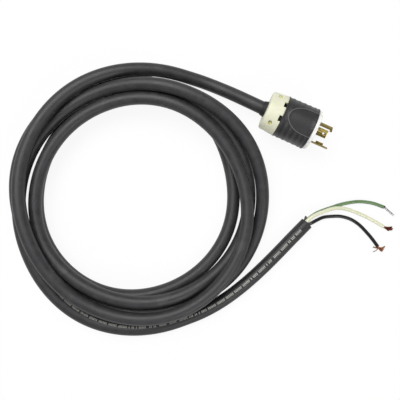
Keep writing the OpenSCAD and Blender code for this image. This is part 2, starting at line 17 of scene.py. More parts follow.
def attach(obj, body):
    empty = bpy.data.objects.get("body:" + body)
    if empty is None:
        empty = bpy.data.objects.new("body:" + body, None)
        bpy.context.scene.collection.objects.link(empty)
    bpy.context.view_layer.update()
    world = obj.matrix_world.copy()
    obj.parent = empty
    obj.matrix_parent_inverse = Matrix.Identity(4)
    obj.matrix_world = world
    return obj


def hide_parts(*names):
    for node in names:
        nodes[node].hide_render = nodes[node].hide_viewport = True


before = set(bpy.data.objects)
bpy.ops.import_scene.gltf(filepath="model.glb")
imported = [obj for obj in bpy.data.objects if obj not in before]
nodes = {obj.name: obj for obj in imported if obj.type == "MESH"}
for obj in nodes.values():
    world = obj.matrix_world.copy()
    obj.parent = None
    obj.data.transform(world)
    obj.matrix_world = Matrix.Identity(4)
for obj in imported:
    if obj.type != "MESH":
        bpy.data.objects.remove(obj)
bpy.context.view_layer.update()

mm = 0.001

# %% [markdown]
# ## The camera
# The cord lies on a table and the camera looks straight down at it from well under a metre, so
# tall pieces lean outwards a little. A camera in Blender looks down its own -Z, so one without
# tilt looks at the floor, and only its turn about Z decides which way is up in the picture.
# The standard view transform shows each colour about as it is written below.

# %% Camera
CAMERA_HEIGHT = 580 * mm
VIEW_WIDTH = 536 * mm
VIEW_MIDDLE = (-75.8 * mm, -139.8 * mm)
CAMERA_TURN = 23.93
SENSOR_WIDTH = 36
camera_data = bpy.data.cameras.new("camera")
camera_data.sensor_width = SENSOR_WIDTH
camera_data.lens = SENSOR_WIDTH * CAMERA_HEIGHT / VIEW_WIDTH
camera = bpy.data.objects.new("camera", camera_data)
camera.location = (*VIEW_MIDDLE, CAMERA_HEIGHT)
camera.rotation_euler = (0, 0, radians(CAMERA_TURN))
bpy.context.scene.collection.objects.link(camera)
bpy.context.scene.camera = camera
bpy.context.scene.view_settings.view_transform = "Standard"
print("lens:", round(camera_data.lens, 2), "mm")

# %% [markdown]
# ## Smooth routes
# A flexible cord lies in one smooth curve. A Catmull-Rom curve runs through every point it is
# given, so a few points that are easy to read place the whole cord. The curve is then cut into
# equal short steps, and a little smoothing takes out the corner where two stretches meet.

# %% Curves through points
def carried_on(points, i):
    """Point i, with the list carried on in a straight line past both ends."""
    last = len(points) - 1
    if i < 0:
        return 2 * points[0] - points[1]
    if i > last:
        return 2 * points[last] - points[last - 1]
    return points[i]


def smooth_at(points, u):
    """The curve at u, where each whole number is one of the points."""
    i = min(int(u), len(points) - 2)
    t = u - i
    a, b, c, d = (carried_on(points, i + k) for k in (-1, 0, 1, 2))
    return (2 * b + (c - a) * t + (2 * a - 5 * b + 4 * c - d) * t ** 2
            + (3 * b - a - 3 * c + d) * t ** 3) / 2


def smooth_line(points, cuts):
    """The curve through all the points, with this many cuts from each to the next."""
    steps = (len(points) - 1) * cuts
    return [smooth_at(points, s / cuts) for s in range(steps + 1)]


def length_of(line):
    return sum((b - a).length for a, b in zip(line, line[1:]))


def even_steps(line, step):
    """The same line, cut into equal steps of about this length."""
    total = length_of(line)
    count = max(2, round(total / step))
    out, done, i = [line[0].copy()], 0.0, 0
    for k in range(1, count):
        want = total * k / count
        while done + (line[i + 1] - line[i]).length < want:
            done += (line[i + 1] - line[i]).length
            i += 1
        piece = line[i + 1] - line[i]
        out.append(line[i] + piece * ((want - done) / piece.length))
    return out + [line[-1].copy()]


def relaxed(line, rounds):
    """The line with its corners eased, its two ends kept."""
    for _ in range(rounds):
        inner = [(a + 2 * b + c) / 4 for a, b, c in zip(line, line[1:], line[2:])]
        line = [line[0]] + inner + [line[-1]]
    return line

# %% [markdown]
# ## A tube along a route
# A plain curve with a bevel makes a tube, but the cut end of a cord also shows its wall and what
# is inside. So the tube is a mesh of rings, each at a distance along the route and with its own
# radius, and the last rings can turn inwards to make the end face. The UV map runs once round
# the tube, and along it in metres, so extrusion lines and print can follow the cord.

# %% Tubes
class Route:
    """Gives the place and the sideways and upward directions at any distance along a line."""

    def __init__(self, line, end_direction=None):
        self.line = line
        self.length = length_of(line)
        self.step = self.length / (len(line) - 1)
        self.ahead = [(carried_on(line, i + 1) - carried_on(line, i - 1)).normalized()
                      for i in range(len(line))]
        if end_direction:
            self.ahead[-1] = end_direction
            self.ahead[-2] = self.ahead[-3].lerp(end_direction, 0.5).normalized()

    def frame_at(self, distance):
        x = min(max(distance / self.step, 0), len(self.line) - 1)
        i = min(int(x), len(self.line) - 2)
        here = self.line[i].lerp(self.line[i + 1], x - i)
        forward = self.ahead[i].lerp(self.ahead[i + 1], x - i).normalized()
        side = forward.cross(Vector((0, 0, 1))).normalized()
        return here, side, side.cross(forward)


def add_tube(bm, route, stations, sides):
    """Rings at stations, each (distance, radius). A radius of nought closes the tube in a point."""
    uv = bm.loops.layers.uv.verify()
    before = None
    for distance, radius in stations:
        here, side, up = route.frame_at(distance)
        if radius == 0:
            ring = [bm.verts.new(here)]
        else:
            angles = [tau * k / sides for k in range(sides)]
            ring = [bm.verts.new(here + radius * (cos(a) * side + sin(a) * up)) for a in angles]
        if before is not None:
            for k in range(sides):
                far = (k + 1) % sides
                # Each corner: its ring, its place in the ring, how far round it is in the UV map
                corners = [(before[1], k, k), (before[1], far, k + 1), (ring, far, k + 1), (ring, k, k)]
                if len(ring) == 1:
                    corners = [corners[0], corners[1], (ring, 0, k + 0.5)]
                elif len(before[1]) == 1:
                    corners = [(before[1], 0, k + 0.5), corners[2], corners[3]]
                face = bm.faces.new([verts[i if len(verts) > 1 else 0] for verts, i, _ in corners])
                face.smooth = True
                for loop, (verts, _, turn) in zip(face.loops, corners):
                    along = before[0] if verts is before[1] else distance
                    loop[uv].uv = (turn / sides, along)
        before = (distance, ring)


def finished(bm, name, finish):
    """Makes the object of a bmesh, with its faces pointing outwards."""
    bmesh.ops.recalc_face_normals(bm, faces=bm.faces)
    mesh = bpy.data.meshes.new(name)
    bm.to_mesh(mesh)
    bm.free()
    mesh.materials.append(finish)
    piece = bpy.data.objects.new(name, mesh)
    bpy.context.scene.collection.objects.link(piece)
    print(name, "faces:", len(mesh.polygons))
    return piece


def even_stations(start, end, step, radius):
    """Stations of one radius, a step or so apart."""
    count = max(1, round((end - start) / step))
    return [(start + (end - start) * k / count, radius) for k in range(count + 1)]

# %% [markdown]
# ## Nodes, colours and finishes
# Paint and plastic colours are usually written as sRGB hex values, but shaders work in linear
# light, so one function turns them. One more adds a node with its settings and links.

# %% Helpers for materials
def colour(code):
    """sRGB hex to the linear values that shaders use."""
    parts = [int(code[i:i + 2], 16) / 255 for i in (1, 3, 5)]
    return (*[p / 12.92 if p <= 0.04045 else ((p + 0.055) / 1.055) ** 2.4 for p in parts], 1.0)


def add(tree, kind, links=None, **settings):
    """Adds a node. links gives each input a value, or an output to join it to."""
    new = tree.nodes.new("ShaderNode" + kind)
    for key, value in settings.items():
        setattr(new, key, value)
    for key, value in (links or {}).items():
        if isinstance(value, bpy.types.NodeSocket):
            tree.links.new(value, new.inputs[key])
        else:
            new.inputs[key].default_value = value
    return new


def material(name, **constants):
    """A material with its shader, and what is the same all over set on the shader itself."""
    made = bpy.data.materials.new(name)
    made.use_nodes = True
    tree = made.node_tree
    shader = tree.nodes["Principled BSDF"]
    for key, value in constants.items():
        shader.inputs[key.replace("_", " ").title().replace("Ior", "IOR")].default_value = value
    return made, tree, shader

# %% [markdown]
# ## Sums, noise and tones
# Every finish is made of the same few moves: noise at the size that the real mottling has, a mix of
# two tones by that noise, a mask from the place or the UV map, and a little relief. With a helper
# for each, a material is short enough to read as a recipe.

# %% Helpers for noise and tones
def calc(tree, operation, *values):
    """One sum on values or outputs."""
    return add(tree, "Math", dict(enumerate(values)), operation=operation).outputs[0]


def scaled(tree, value, by):
    return calc(tree, "MULTIPLY", value, by)


def inside(tree, value, middle, half):
    """1 where value is within half of middle, else 0."""
    away = calc(tree, "ABSOLUTE", calc(tree, "SUBTRACT", value, middle))
    return calc(tree, "LESS_THAN", away, half)


def remap(tree, value, start, end, low, high):
    """Goes from low to high while value goes from start to end."""
    return add(tree, "MapRange", {
        "Value": value, "From Min": start, "From Max": end, "To Min": low, "To Max": high,
    }).outputs["Result"]


def spread(tree, noise, low, high):
    """Noise is mostly near a half: this stretches it over low to high."""
    return remap(tree, noise, 0.3, 0.7, low, high)


def grain(tree, coordinates, size, detail=3):
    """Noise whose lumps are about this many metres across."""
    noise = add(tree, "TexNoise", {"Vector": coordinates, "Scale": 1 / size, "Detail": detail})
    return noise.outputs["Fac"]


def uv_parts(tree):
    """How far round a tube, from 0 to 1, and how far along it, in metres."""
    parts = add(tree, "SeparateXYZ", {"Vector": add(tree, "TexCoord").outputs["UV"]})
    return parts.outputs["X"], parts.outputs["Y"]


def die_lines(tree, around, along, round_scale, long_scale):
    """Lines along a tube, where the die dragged."""
    drag = add(tree, "CombineXYZ", {
        "X": scaled(tree, around, round_scale), "Y": scaled(tree, along, long_scale)})
    return grain(tree, drag.outputs[0], 1.0, 2)


def between(tree, factor, first, second):
    return add(tree, "Mix", {0: factor, 6: first, 7: second}, data_type="RGBA").outputs[2]


def two_tones(tree, noise, base, deep):
    """Two colours, mixed by noise from all of one to all of the other."""
    return between(tree, spread(tree, noise, 0, 1), colour(base), colour(deep))


def lay_over(made, mask, code):
    """Lays one more colour over a finished material, where the mask says."""
    tree = made.node_tree
    base = tree.nodes["Principled BSDF"].inputs["Base Color"]
    tree.links.new(between(tree, mask, base.links[0].from_socket, colour(code)), base)


def raise_by(tree, shader, height, distance):
    """Gives the surface this relief, with distance in metres."""
    bump = add(tree, "Bump", {"Height": height, "Strength": 1.0, "Distance": distance})
    tree.links.new(bump.outputs["Normal"], shader.inputs["Normal"])

# %% [markdown]
# ## The jacket's finish
# The jacket is a thermoset rubber, pushed out hot over the laid-up cores and cured. That leaves a
# satin skin with fine lines along the cord where the die dragged, a dusting of talc, and soft
# mottling. The maker's legend is inked on one side along its length: here it is only a row of
# plain dashes, drawn from the UV map so that they follow the cord. The cord is a little twisted
# near its cut end, so the row starts on its side and comes up to the top. The last stretch before
# the cut end is made a little darker.

# %% Jacket rubber
CORD_D = 16.8 * mm
TOP = 0.25              # the top of the tube, in turns of its UV map
PRINT_FROM = 4.07       # metres along the cord
PRINT_TO = 4.53
PRINT_HEIGHT = 3.2 * mm
PRINT_PITCH = 1.95 * mm
PRINT_LEANS = (6, 88)   # degrees from the top, at the cut end and where the row starts
DASH_SHARE = 0.64       # of each pitch
WORD = 7                # every seventh place is left blank
MISSING = 0.07          # share of the dashes that didn't take
INK_COVER = 0.8
# Darker over the last stretch before the cut end: where it starts and ends, in metres along the cord,
# and how dark
DARK_END_FROM = 4.1        # metres along the cord
DARK_END_TO = 4.3
DARK_END_SHARE = 0.55


def print_mask(tree, around, along):
    """How much the ink covers: in the dashes of the row, else nothing."""
    cell = scaled(tree, along, 1 / PRINT_PITCH)
    number = calc(tree, "FLOOR", cell)
    chance = add(tree, "TexWhiteNoise", {"W": number}, noise_dimensions="1D").outputs["Value"]
    left = calc(tree, "POWER", remap(tree, along, PRINT_FROM, PRINT_TO, 1, 0), 2)
    line = remap(tree, left, 0, 1, *[TOP + lean / 360 for lean in PRINT_LEANS])
    mask = inside(tree, around, line, PRINT_HEIGHT / 2 / (pi * CORD_D))
    for more in (
        inside(tree, calc(tree, "FRACT", cell), 0.5, DASH_SHARE / 2),
        inside(tree, along, (PRINT_FROM + PRINT_TO) / 2, (PRINT_TO - PRINT_FROM) / 2),
        calc(tree, "GREATER_THAN", chance, MISSING),
        calc(tree, "GREATER_THAN", calc(tree, "MODULO", number, WORD), 0.5),
    ):
        mask = calc(tree, "MULTIPLY", mask, more)
    return scaled(tree, mask, INK_COVER)


def jacket_rubber(name, on_tube=False):
    """The drag lines, the darker end and the print need the UV map of the tube."""
    made, tree, shader = material(name, roughness=0.46, ior=1.5)
    place = add(tree, "TexCoord").outputs["Object"]
    mottle = grain(tree, place, 9 * mm)
    relief = grain(tree, place, 0.9 * mm, 2)
    talc = spread(tree, grain(tree, place, 26 * mm, 6), -0.9, 0.22)
    tone = two_tones(tree, mottle, "#2c2c2e", "#363638")
    tone = between(tree, calc(tree, "MAXIMUM", talc, 0.0), tone, colour("#5a5a5a"))
    if on_tube:
        around, along = uv_parts(tree)
        relief = calc(tree, "ADD", relief, die_lines(tree, around, along, 60, 14))
        # Darker towards the cut end
        dark_end = remap(tree, along, DARK_END_FROM, DARK_END_TO, 0, DARK_END_SHARE)
        tone = between(tree, dark_end, tone, colour("#1c1c1e"))
        tone = between(tree, print_mask(tree, around, along), tone, colour("#b4b3ac"))
    tree.links.new(tone, shader.inputs["Base Color"])
    tree.links.new(spread(tree, mottle, 0.4, 0.54), shader.inputs["Roughness"])
    raise_by(tree, shader, relief, 0.06 * mm)
    return made


jacket_plain = jacket_rubber("jacket_rubber")
jacket_printed = jacket_rubber("jacket_rubber_with_ink_dashes", True)
print("print dashes every", PRINT_PITCH / mm, "mm")

# %% [markdown]
# ## The route of the cord
# From the clamp the cord sags to the floor, runs into the coil, makes more than four turns that
# pass over and under each other in long low humps, and leaves the coil for its cut end. The
# coil is wound by a formula: an angle that goes on by an eighth of a turn, and beside each eighth
# the turn's radius and how far the cord is lifted by what it lies on.

# %% Cord route
CORD_R = CORD_D / 2
AXIS_Z = 27 * mm
COIL_CENTRE = Vector((-152.6, -173.4, 0)) * mm
COIL_START = 91.2       # degrees
# Each: radius, lift. Two lines to a turn
COIL_STATIONS = [
    (174, 4), (160.5, 27.5), (146, 35), (138.5, 35.5),
    (147.5, 22), (155, 20.3), (149.5, 20.8), (137.5, 21.5),
    (131, 30), (126, 21), (125.5, 18), (129, 18),
    (128, 18.5), (136, 15), (146, 1), (149.5, 8),
    (145.5, 20), (139.5, 3.5), (131.5, 0), (132, 0),
    (129.5, 0), (125, 0), (127, 0), (131.5, 0),
    (150, 0), (163, 0), (164, 0), (153, 0),
    (147.5, 0), (152, 0), (163.5, 0), (163.5, 21.5),
    (148, 38), (144, 21), (147.5, 14.5), (151, 19.5),
    (168.5, 7), (170, 0),
]
LEAD = [
    (-45.7, 0, 27), (-54, 0, 27), (-66, 0.8, 25.2), (-78, 2, 21.4), (-90, 3.3, 16.8),
    (-102, 4.3, 12.6), (-114, 4.7, 9.6), (-126, 4.5, 8.5), (-136, 3.8, 8.9), (-146, 2.4, 10.3),
]
TAIL = [
    (-13, -274), (5, -250), (20.5, -223), (33.5, -195), (45, -166), (55.5, -137), (65.5, -110.5),
]


def points(table, height=None):
    """A table in millimetres as places, all at one height where the table has none."""
    return [Vector((*p[:2], p[2] if height is None else height)) * mm for p in table]


def coil_point(u):
    """The coil at u eighths of a turn."""
    radius, lift = smooth_at([Vector(s) for s in COIL_STATIONS], u)
    angle = radians(COIL_START + 45 * u)
    flat = Vector((cos(angle), sin(angle), 0)) * radius * mm
    return COIL_CENTRE + flat + Vector((0, 0, CORD_R + max(lift, 0) * mm))


COIL_CUTS = 24
END_CUTS = 12
CORD_STEP = 4 * mm
turns = [coil_point(s / COIL_CUTS) for s in range((len(COIL_STATIONS) - 1) * COIL_CUTS + 1)]
lead = smooth_line(points(LEAD) + [turns[0]], END_CUTS)
tail = smooth_line([turns[-1]] + points(TAIL, CORD_R / mm), END_CUTS)
cord_line = relaxed(even_steps(lead[:-1] + turns + tail[1:], CORD_STEP), 8)
cord_route = Route(cord_line)
print("cord length:", round(cord_route.length, 3), "m")

# %% [markdown]
# ## The jacketed cord
# The tube follows the route for its whole length. At the far end it was cut square with a blade:
# the last rings turn in over the wall of the jacket and back down its bore, so the end shows a
# ring of rubber round the cores.

# %% Jacketed cord
JACKET_WALL = 2.2 * mm
CUT_DEPTH = 2.5 * mm
length = cord_route.length
bore_r = CORD_R - JACKET_WALL
jacket_stations = even_stations(0, length - 2 * mm, CORD_STEP, CORD_R) + [
    (length - 0.5 * mm, CORD_R), (length - 0.15 * mm, CORD_R - 0.05 * mm),
    (length, CORD_R - 0.3 * mm), (length, bore_r + 0.25 * mm),
    (length - 0.15 * mm, bore_r), (length - 0.5 * mm, bore_r), (length - CUT_DEPTH, bore_r),
    (length - CUT_DEPTH, bore_r / 2), (length - CUT_DEPTH, 0),
]
CORD_SIDES = 40
bm = bmesh.new()
add_tube(bm, cord_route, [(0, 0), (0, CORD_R - 0.2 * mm)] + jacket_stations, CORD_SIDES)
jacket = finished(bm, "cord_jacket", jacket_printed)
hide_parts("cable_lead", "cable_coil", "cable_tail")
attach(jacket, "plug")

# %% [markdown]
# ## Core insulation
# Each core is copper strand in a coloured thermoplastic skin, smooth and semi-gloss from the
# extruder's die. The gloss draws one thin highlight along it. The colours are a mid green, an
# off-white that has gone slightly yellow, and black.

# %% Core insulation material
def core_insulation(name, base, deep, light):
    made, tree, shader = material(name, roughness=0.18, ior=1.52)
    place = add(tree, "TexCoord").outputs["Object"]
    around, along = uv_parts(tree)
    mottle = grain(tree, place, 12 * mm)
    streak = die_lines(tree, around, along, 14, 30)
    tone = two_tones(tree, mottle, base, deep)
    tone = between(tree, spread(tree, streak, 0, 0.35), tone, colour(light))
    tree.links.new(tone, shader.inputs["Base Color"])
    tree.links.new(spread(tree, mottle, 0.14, 0.22), shader.inputs["Roughness"])
    raise_by(tree, shader, streak, 0.02 * mm)
    return made


green_skin = core_insulation("green_core_insulation", "#5f7f53", "#54724a", "#91ab82")
white_skin = core_insulation("white_core_insulation", "#e6e8c8", "#dcdcb8", "#f2f2e2")
black_skin = core_insulation("black_core_insulation", "#161618", "#111113", "#28282a")

# %% [markdown]
# ## The three free cores
# The cores come out of the cut end and spring apart. Green lies lowest, white crosses over it,
# and black bends away to the other side. Each ends where its skin was cut back from the copper,
# so the tube turns in to show the thickness of the skin. The green one's skin is darker near its
# cut edge.

# %% Free cores
CORE_D = 4.7 * mm
CORE_R = CORE_D / 2
SKIN_WALL = 0.75 * mm
CORE_STEP = 1.5 * mm
CORE_SIDES = 24
WIRE_R = CORE_R - SKIN_WALL
SKIN_DEPTH = 1.2 * mm   # how far the tube of the skin is open at its end
# How far back from its cut edge the green skin is darker
SKIN_EDGE_DARK_LEN = 2.2 * mm
CUT_DIRECTION = Vector((0.353, 0.936, 0))
TINNED = Vector((cos(radians(-17)), sin(radians(-17)), 0))
GREEN = [
    (63.15, -109.55, 6.5), (66, -103.5, 6.4), (69.1, -97.9, 6.2), (72.3, -93.3, 5.6),
    (77, -88.3, 4.5), (83.6, -82.2, 3.1), (90.2, -76.3, 2.4), (96, -70.9, 2.4),
    (107.4, -62.4, 2.4), (120, -55.3, 2.4), (136, -50.4, 2.4), (153, -49, 2.4),
]
WHITE = [
    (63.3, -109.6, 11.4), (65.7, -104.2, 11.3), (68, -100, 11.2), (71.4, -95.6, 10.8),
    (75.3, -91.5, 10), (79.5, -87.6, 9.1), (84.3, -83.1, 8.1), (89.9, -78.7, 7.2),
    (95, -75.6, 6), (100, -73.7, 4.3), (105.5, -72.2, 3), (112, -71.1, 2.4),
    (126.5, -70.4, 2.4), (143, -70.9, 2.4), (162.5, -73, 2.4),
]
BLACK = [
    (68.15, -111.45, 6.4), (70.1, -109.4, 6.6), (72.2, -107.1, 6.5), (75.1, -103.3, 6),
    (78, -100, 5.2), (81, -96.7, 4.3), (86.2, -92.6, 3.1), (98.5, -86.1, 2.4),
    (107, -83.1, 2.4), (119, -81.8, 2.4), (132, -84, 2.4), (146, -89.6, 2.4),
    (156.5, -94.8, 2.4), (166, -100.3, 2.4),
]


def free_core(name, table, skin, node, end_direction=None):
    """A core with its skin cut back at the end. It starts inside the jacket's bore."""
    places = points(table)
    start = places[0] - CUT_DIRECTION * (CUT_DEPTH - 0.3 * mm)
    route = Route(even_steps([start] + smooth_line(places, 12), CORE_STEP), end_direction)
    end = route.length
    stations = [(0, 0)] + even_stations(0, end - 0.6 * mm, CORE_STEP, CORE_R) + [
        (end - 0.2 * mm, CORE_R), (end, CORE_R - 0.15 * mm), (end, WIRE_R + 0.1 * mm),
        (end - 0.2 * mm, WIRE_R), (end - SKIN_DEPTH, WIRE_R), (end - SKIN_DEPTH, 0),
    ]
    bm = bmesh.new()
    add_tube(bm, route, stations, CORE_SIDES)
    core = finished(bm, name, skin)
    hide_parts(node)
    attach(core, "plug")
    return core, route


green, green_route = free_core("green_insulation", GREEN, green_skin, "green_core", TINNED)
white, white_route = free_core("white_insulation", WHITE, white_skin, "white_core")
black, black_route = free_core("black_insulation", BLACK, black_skin, "black_core")

# The green skin darkens towards its cut edge
tree = green_skin.node_tree
end = green_route.length
skin_edge_dark = remap(tree, uv_parts(tree)[1], end - SKIN_EDGE_DARK_LEN, end - SKIN_EDGE_DARK_LEN / 2, 0, 1)
lay_over(green_skin, skin_edge_dark, "#26251f")

# %% [markdown]
# ## Copper and solder
# A flexible core is about a hundred strands of fine copper. The green one was twisted tight and
# dipped in solder, so it is one bright, ridged rod. The white one's strands are darkened by air
# and heat, and the black one's have sprung open into a fan. Metals keep the default IOR, and
# their colour is in the reflection.

# %% Wire metals
def strand_metal(name, base, dark, rough):
    made, tree, shader = material(name, metallic=1.0, roughness=rough)
    place = add(tree, "TexCoord").outputs["Object"]
    tarnish = grain(tree, place, 2.2 * mm, 4)
    tree.links.new(two_tones(tree, tarnish, base, dark), shader.inputs["Base Color"])
    tree.links.new(spread(tree, tarnish, rough - 0.08, rough + 0.1), shader.inputs["Roughness"])
    return made


copper = strand_metal("bare_copper_strand", "#b87a4e", "#6e4028", 0.4)
dark_copper = strand_metal("oxidised_copper_strand", "#8a4a3a", "#50281f", 0.5)
solder = strand_metal("solder_tinned_strand", "#e2e2e0", "#8c8c90", 0.3)

# %% [markdown]
# ## Stripped ends
# Each strand is a thin tube of its own. Inside the skin the strands lie packed and twisted, and
# past it they run out to their own tips. A hundred strands would be finer than the picture
# shows, so a few dozen thicker ones stand for them.

# %% Strands
STRAND_R = 0.3 * mm
STRAND_STEP = 0.9 * mm
STRAND_TWIST = 260      # radians per metre
INSIDE = 1.0 * mm       # how far the strands reach into the skin
PACKED = 2.2 * mm       # how far past it they still lie together


def strand_line(root, forward, offset, tip, bow):
    """From inside the skin, round the bundle's axis for a while, then in a bow to the tip."""
    side = forward.cross(Vector((0, 0, 1))).normalized()
    up = side.cross(forward)
    out, angle = offset
    line = []
    for k in range(5):
        along = -INSIDE + (PACKED + INSIDE) * k / 4
        turn = angle + STRAND_TWIST * along
        line.append(root + forward * along + out * (cos(turn) * side + sin(turn) * up))
    start = line[-1]
    middle = start.lerp(tip, 0.5) + forward * bow + Vector((0, 0, abs(bow) * 0.3))
    for k in range(1, 9):
        t = k / 8
        line.append((1 - t) ** 2 * start + 2 * t * (1 - t) * middle + t * t * tip)
    return line


def packed_offsets(count, radius):
    """Places across a round bundle, evenly filled by the golden angle."""
    golden = pi * (3 - 5 ** 0.5)
    return [(radius * ((k + 0.5) / count) ** 0.5, k * golden) for k in range(count)]


def strand_bundle(name, route, tips, metal, node, bow):
    """The bare strands at the end of one core."""
    root = route.line[-1]
    forward = (route.line[-1] - route.line[-3]).normalized()
    bm = bmesh.new()
    for offset, tip in zip(packed_offsets(len(tips), WIRE_R - STRAND_R), tips):
        wire = Route(even_steps(strand_line(root, forward, offset, tip, bow), STRAND_STEP))
        stations = even_stations(0, wire.length - 0.3 * mm, STRAND_STEP, STRAND_R)
        ends = [(wire.length - 0.1 * mm, STRAND_R * 0.8), (wire.length, 0)]
        add_tube(bm, wire, [(0, 0)] + stations + ends, 6)
    bundle = finished(bm, name, metal)
    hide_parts(node)
    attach(bundle, "plug")
    return bundle


rng = random.Random(7)


def scatter(places, count, spread_mm):
    """Tips spread round a few places, never below the floor."""
    tips = []
    for k in range(count):
        tip = Vector([v + rng.gauss(0, spread_mm) for v in places[k % len(places)]]) * mm
        tip.z = max(tip.z, STRAND_R + 0.1 * mm)
        tips.append(tip)
    return tips


WHITE_TIPS = [
    (173.3, -68.6, 2.2), (175, -70.6, 1.6), (174.3, -72.6, 1.4), (171.6, -74.6, 1.2),
    (169.4, -75, 1.4), (172.5, -71.8, 3.2), (171.4, -73.2, 2.4),
]
BLACK_TIPS = [
    (174.9, -96.6, 2.8), (174.9, -98.6, 2.2), (174.6, -101, 2.6), (175, -103.2, 1.4),
    (173.8, -104.4, 1.2), (171.6, -103.4, 1.6), (173.4, -102, 2.6),
]
STRAY_TIPS = [(161.2, -102.8, 1.4), (163.8, -109.2, 1)]
white_tips = scatter(WHITE_TIPS, 70, 0.55)
black_tips = scatter(BLACK_TIPS, 56, 0.5) + scatter(STRAY_TIPS, 8, 0.4)
white_wire = strand_bundle("white_bare_strands", white_route, white_tips, dark_copper,
                           "white_copper_end", 1.0 * mm)
black_wire = strand_bundle("black_bare_strands", black_route, black_tips, copper,
                           "black_copper_end", 1.4 * mm)

# %% [markdown]
# ## The tinned end
# Seven bundles of strands twisted round each other and filled with solder: a rod with a shallow
# spiral ridge. A circle is pinched into seven lobes, then extruded in short steps that each turn
# it a little further and narrow it near the tip, and the whole rod is laid into its direction.

# %% Tinned end
TINNED_LEN = 17 * mm
TINNED_ROOT = 1 * mm    # how far it reaches into the skin
BARE_R = 1.5 * mm
LOBES = 7
RIDGE = 0.15            # depth of the spiral, as a share of the radius
ROD_STEP = 0.5 * mm
TAPER_LEN = 4 * mm
TAPER = 0.28
TIP_LEN = 0.4 * mm
TIP_SHARE = 0.45


def rod_share(left):
    """The share of its full radius that a rod has, with this much left to its tip."""
    return 1 - TAPER + TAPER * min(1, left / TAPER_LEN) if left > TIP_LEN else TIP_SHARE


def twisted_rod(bm, start, forward, reach, radius, turns_per_m, sides=42):
    """A rod with a spiral ridge, from start in the direction forward."""
    bmesh.ops.create_circle(bm, cap_ends=False, segments=sides, radius=radius)
    ring = bm.verts[-sides:]
    for v in ring:
        v.co *= 1 - RIDGE * abs(sin(LOBES / 2 * atan2(v.co.y, v.co.x)))
    whole = list(ring)
    edges = list({edge for v in ring for edge in v.link_edges})
    bmesh.ops.contextual_create(bm, geom=edges)
    count = round(reach / ROD_STEP)
    turn = Matrix.Rotation(tau * turns_per_m * reach / count, 3, "Z")
    share = 1
    for k in range(1, count + 1):
        before, share = share, rod_share(reach * (count - k) / count)
        grown = bmesh.ops.extrude_edge_only(bm, edges=edges)["geom"]
        edges = [part for part in grown if isinstance(part, bmesh.types.BMEdge) and part.is_boundary]
        ring = [part for part in grown if isinstance(part, bmesh.types.BMVert)]
        bmesh.ops.scale(bm, vec=(share / before, share / before, 1), verts=ring)
        bmesh.ops.rotate(bm, matrix=turn, verts=ring)
        bmesh.ops.translate(bm, vec=(0, 0, reach / count), verts=ring)
        whole += ring
    bmesh.ops.contextual_create(bm, geom=edges)
    lay = Matrix.Translation(start) @ forward.to_track_quat("Z", "Y").to_matrix().to_4x4()
    bmesh.ops.transform(bm, matrix=lay, verts=whole)
    for face in {face for v in whole for face in v.link_faces if len(face.verts) == 4}:
        face.smooth = True


root = green_route.line[-1] - TINNED * TINNED_ROOT
bm = bmesh.new()
twisted_rod(bm, root, TINNED, TINNED_LEN + TINNED_ROOT, BARE_R, 55)
tinned = finished(bm, "tinned_strands", solder)
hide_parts("tinned_end")
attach(tinned, "plug")

# %% [markdown]
# ## Fillers
# Between the round cores the jacket would be hollow, so yarns of twisted fibre fill it. At the
# cut end they stand out a few millimetres, frayed and grey.

# %% Filler yarn
# Each: place in the cut face (sideways, height), place of its frayed tip, length, two radii
FILLERS = [
    ((-5.2, 9.3), (-6.9, 9.8), 6, 0.7, 1.9), ((2.6, 11), (2.6, 11.2), 4.4, 1.6, 1.8),
    ((0.1, 4.2), (0.1, 4.2), 3, 0.9, 0.9),
]
FIBRES = 40
FIBRE_R = 0.28 * mm
FIBRE_STEP = 0.7 * mm
FOOT_LEN = 0.8 * CUT_DEPTH  # of the twisted part below the cut face


def fibre(name, base, dark):
    made, tree, shader = material(name, roughness=0.85, ior=1.45)
    place = add(tree, "TexCoord").outputs["Object"]
    fuzz = grain(tree, place, 0.5 * mm)
    tree.links.new(two_tones(tree, fuzz, base, dark), shader.inputs["Base Color"])
    raise_by(tree, shader, fuzz, 0.15 * mm)
    return made


yarn = fibre("twisted_fibre_filler", "#7a786e", "#33322e")
cut_side = Vector((CUT_DIRECTION.y, -CUT_DIRECTION.x, 0))
cut_end = Vector((cord_line[-1].x, cord_line[-1].y, 0))
up = Vector((0, 0, 1))
bm = bmesh.new()
for (across, height), (tip_across, tip_height), reach, foot_r, tip_r in FILLERS:
    foot = cut_end + (cut_side * across + up * height) * mm
    tip = cut_end + (cut_side * tip_across + up * tip_height + CUT_DIRECTION * reach) * mm
    twisted_rod(bm, foot - CUT_DIRECTION * FOOT_LEN, CUT_DIRECTION, FOOT_LEN + 0.6 * mm,
                foot_r * mm, 60, 20)
    for out, turn in packed_offsets(FIBRES, 1):
        lean = cos(turn) * cut_side + sin(turn) * up
        start = foot + lean * out * foot_r * 0.8 * mm
        end = tip + lean * out * (tip_r * mm - FIBRE_R) - CUT_DIRECTION * rng.uniform(0, 1.1) * mm
        bend = start.lerp(end, 0.55) + lean * rng.uniform(-0.1, 0.3) * mm
        line = smooth_line([start - CUT_DIRECTION * mm, start, bend, end], 6)
        wire = Route(even_steps(line, FIBRE_STEP))
        stations = even_stations(0, wire.length - 0.2 * mm, FIBRE_STEP, FIBRE_R)
        add_tube(bm, wire, [(0, 0)] + stations + [(wire.length, 0)], 6)
fillers = finished(bm, "filler_yarns", yarn)
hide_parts("filler_cords")
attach(fillers, "plug")

# %% [markdown]
# ## Core lengths
# The length of each of the three cores that leave the jacket is printed.

for core, route, wire in ((green, green_route, tinned), (white, white_route, white_wire),
                          (black, black_route, black_wire)):
    print(core.name, "length:", round(route.length / mm), "mm")
